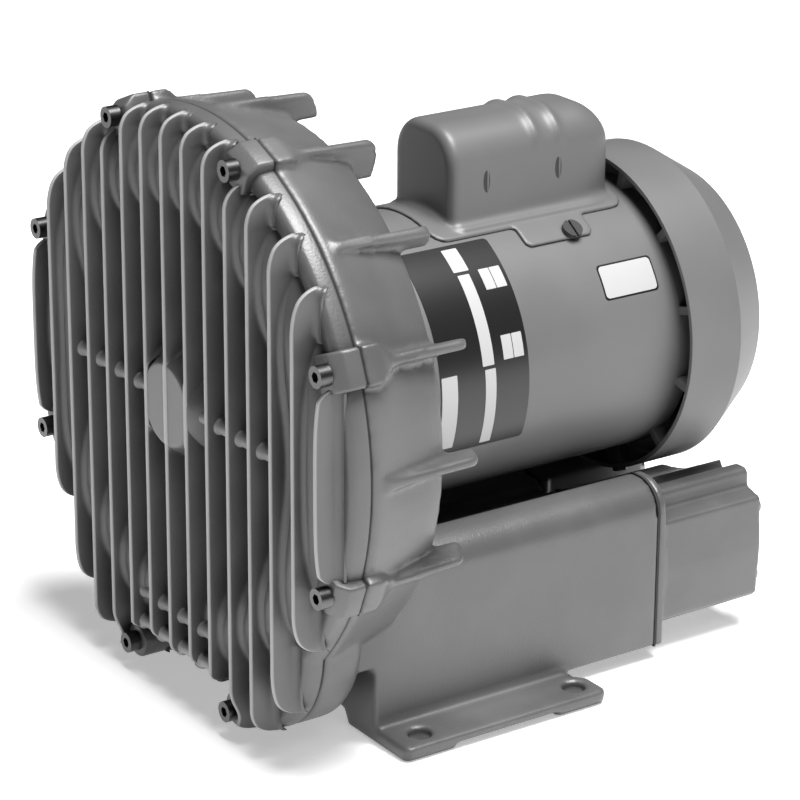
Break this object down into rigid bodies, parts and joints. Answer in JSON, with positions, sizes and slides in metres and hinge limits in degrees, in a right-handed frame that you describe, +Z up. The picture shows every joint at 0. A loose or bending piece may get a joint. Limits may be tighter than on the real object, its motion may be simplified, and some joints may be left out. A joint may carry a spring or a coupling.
{
  "type": "side channel blower",
  "caption": "Side channel blower: finned casing with a pocketed impeller, two muffler boxes with threaded ports, cast feet and a fan-cooled motor with a capacitor box.",
  "frame": {"origin": "centre of the four foot bolts, on the plane the feet stand on", "axes": "+Y along the shaft from the finned cover to the fan end, +Z up, +X to the right seen from the finned cover"},
  "size_m": [0.278, 0.2993, 0.291],
  "materials": {
    "cast_casing": "satin",
    "gasket": "matte",
    "steel": "satin",
    "foam": "matte",
    "seal": "matte",
    "motor_paint": "satin",
    "core_steel": "matte",
    "copper": "satin",
    "shroud": "satin",
    "capacitor_can": "satin",
    "cover_paint": "satin",
    "impeller_cast": "satin",
    "fan_plastic": "matte",
    "switch_plastic": "matte"
  },
  "bodies": {
    "casing": {"impeller_cover": "cast_casing", "cover_gasket": "gasket", "cover_screws": "steel", "blower_housing": "cast_casing", "mount_screws": "steel", "shaft_seal": "seal", "tie_screws": "steel", "muffler_extension_right": "cast_casing", "muffler_extension_left": "cast_casing", "extension_gasket_right": "gasket", "extension_gasket_left": "gasket", "muffler_foam_right": "foam", "muffler_foam_left": "foam", "drive_end_bell": "motor_paint", "motor_shell": "motor_paint", "fan_end_bell": "motor_paint", "through_bolts": "steel", "stator_core": "core_steel", "stator_windings": "copper", "drive_bearing_outer_race": "steel", "fan_bearing_outer_race": "steel", "wave_spring": "steel", "start_switch": "switch_plastic", "fan_shroud": "shroud", "shroud_screws": "steel", "capacitor": "capacitor_can", "capacitor_cover": "cover_paint", "cover_tab_screws": "steel"},
    "rotor": {"shaft": "steel", "impeller": "impeller_cast", "impeller_key": "steel", "impeller_nut": "steel", "impeller_washer": "steel", "rotor_core": "core_steel", "rotor_end_rings": "impeller_cast", "drive_bearing_inner_race": "steel", "fan_bearing_inner_race": "steel", "governor": "steel", "cooling_fan": "fan_plastic", "fan_clip": "steel"},
    "drive_cage": {"drive_bearing_cage": "steel"},
    "fan_cage": {"fan_bearing_cage": "steel"},
    "collar": {"governor_collar": "switch_plastic"}
  },
  "joints": [
    {"name": "rotor_spin", "type": "hinge", "parent": "casing", "child": "rotor", "pos_m": [0, 0, 0.152], "axis": [0, 1, 0], "continuous": true},
    {"name": "drive_cage_spin", "type": "hinge", "parent": "casing", "child": "drive_cage", "pos_m": [0, 0, 0.152], "axis": [0, 1, 0], "continuous": true},
    {"name": "fan_cage_spin", "type": "hinge", "parent": "casing", "child": "fan_cage", "pos_m": [0, 0, 0.152], "axis": [0, 1, 0], "continuous": true},
    {"name": "governor_slide", "type": "slide", "parent": "rotor", "child": "collar", "axis": [0, 1, 0], "range_m": [0, 0.003]}
  ],
  "couplings": [
    {"joint": "drive_cage_spin", "follows": "rotor_spin", "ratio": 0.4078},
    {"joint": "fan_cage_spin", "follows": "rotor_spin", "ratio": 0.4105}
  ]
}
